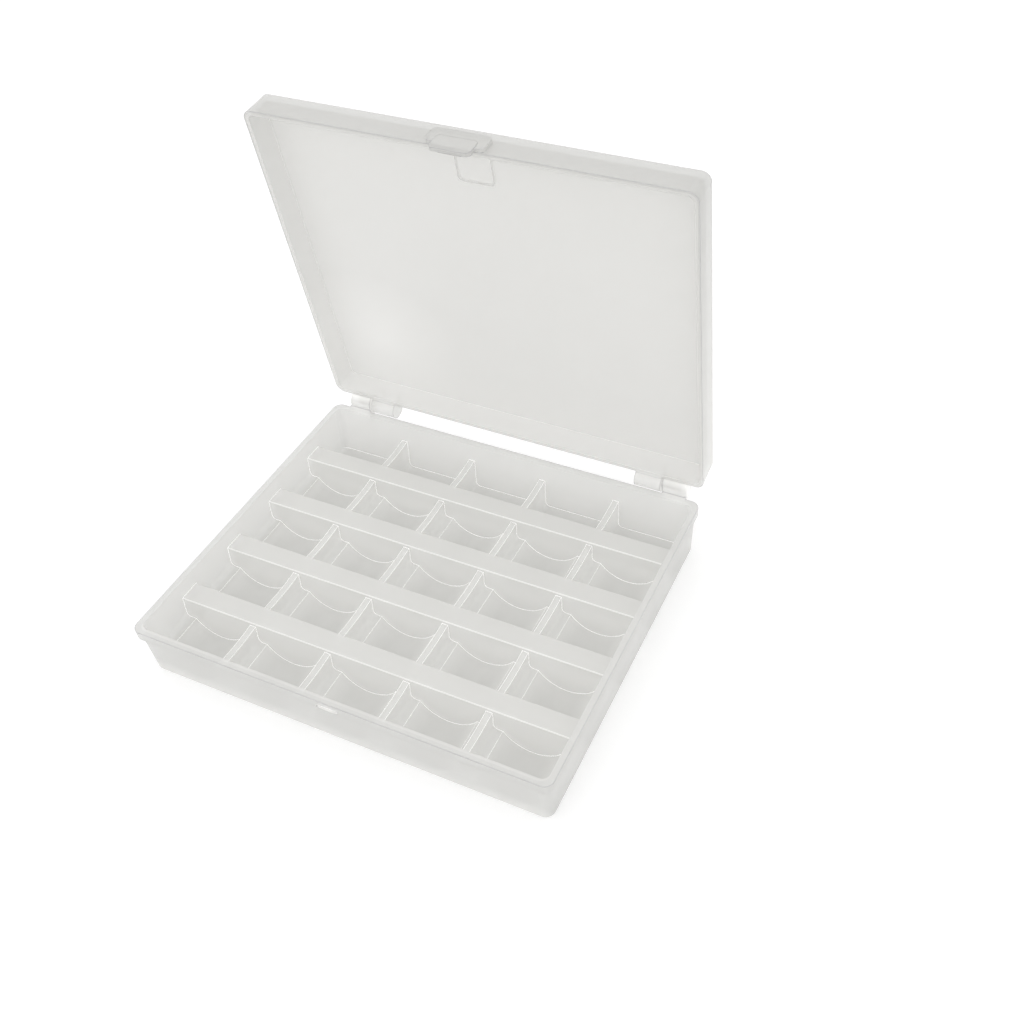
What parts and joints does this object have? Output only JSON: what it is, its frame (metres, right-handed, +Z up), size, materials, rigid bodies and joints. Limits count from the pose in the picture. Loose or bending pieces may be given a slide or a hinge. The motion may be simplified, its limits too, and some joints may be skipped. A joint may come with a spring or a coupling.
{
  "type": "thread spool storage box",
  "caption": "Frosted translucent plastic box for sewing reels: a tray of round-bottomed cells between ridges, under a hinged snap lid that stands open.",
  "frame": {"origin": "on the table under the middle of the box's rim, on the flat foot of the middle cradle", "axes": "+Z up, +Y from the latch at the front to the hinges at the back, +X to the right seen from the front"},
  "size_m": [0.122, 0.1102, 0.1215],
  "materials": {
    "tray_plastic": "frosted, translucent polypropylene",
    "lid_plastic": "frosted, translucent polypropylene"
  },
  "bodies": {
    "base": {"base_tray": "tray_plastic"},
    "lid": {"lid": "lid_plastic"}
  },
  "joints": [
    {"name": "lid_hinge", "type": "hinge", "parent": "base", "child": "lid", "pos_m": [0, 0.0531, 0.01755], "axis": [-1, 0, 0], "range_deg": [-83.3, 96.7]}
  ]
}
